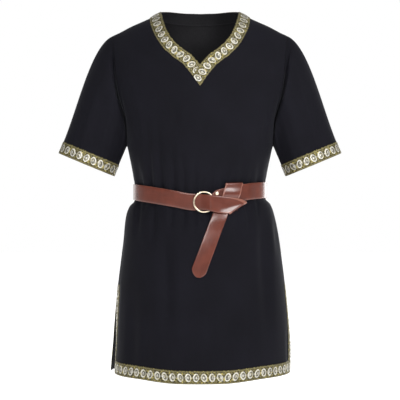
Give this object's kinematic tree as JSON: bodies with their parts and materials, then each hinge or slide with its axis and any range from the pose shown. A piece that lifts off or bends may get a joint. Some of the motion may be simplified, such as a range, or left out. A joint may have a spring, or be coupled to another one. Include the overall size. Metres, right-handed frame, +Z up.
{
  "type": "belted tunic",
  "caption": "Short-sleeved V-neck tunic with side slits, woven ribbon trim and a knotted leather ring belt, filled out as worn and empty inside.",
  "frame": {"origin": "midway between the shoulders, at the height of the neck end of the shoulder seams", "axes": "+X towards the viewer's right, the front faces -Y, +Z up"},
  "size_m": [0.6794, 0.2906, 0.8745],
  "materials": {
    "black_cloth": "matt soft weave",
    "woven_ribbon": "woven, slight sheen",
    "brown_leather": "smooth, polished",
    "pale_brass": "polished"
  },
  "bodies": {
    "root": {"front": "black_cloth", "back": "black_cloth", "sleeve_left": "black_cloth", "sleeve_right": "black_cloth", "neck_facing": "black_cloth", "neck_trim_left": "woven_ribbon", "neck_trim_right": "woven_ribbon", "neck_trim_back": "woven_ribbon", "cuff_trim_left": "woven_ribbon", "cuff_trim_right": "woven_ribbon", "hem_trim_front": "woven_ribbon", "hem_trim_back": "woven_ribbon", "slit_trim_front_left": "woven_ribbon", "slit_trim_front_right": "woven_ribbon", "slit_trim_back_left": "woven_ribbon", "slit_trim_back_right": "woven_ribbon", "belt_strap": "brown_leather", "belt_flap": "brown_leather", "belt_crossing": "brown_leather", "belt_tail": "brown_leather", "belt_ring": "pale_brass", "belt_rivet": "pale_brass"}
  },
  "joints": []
}
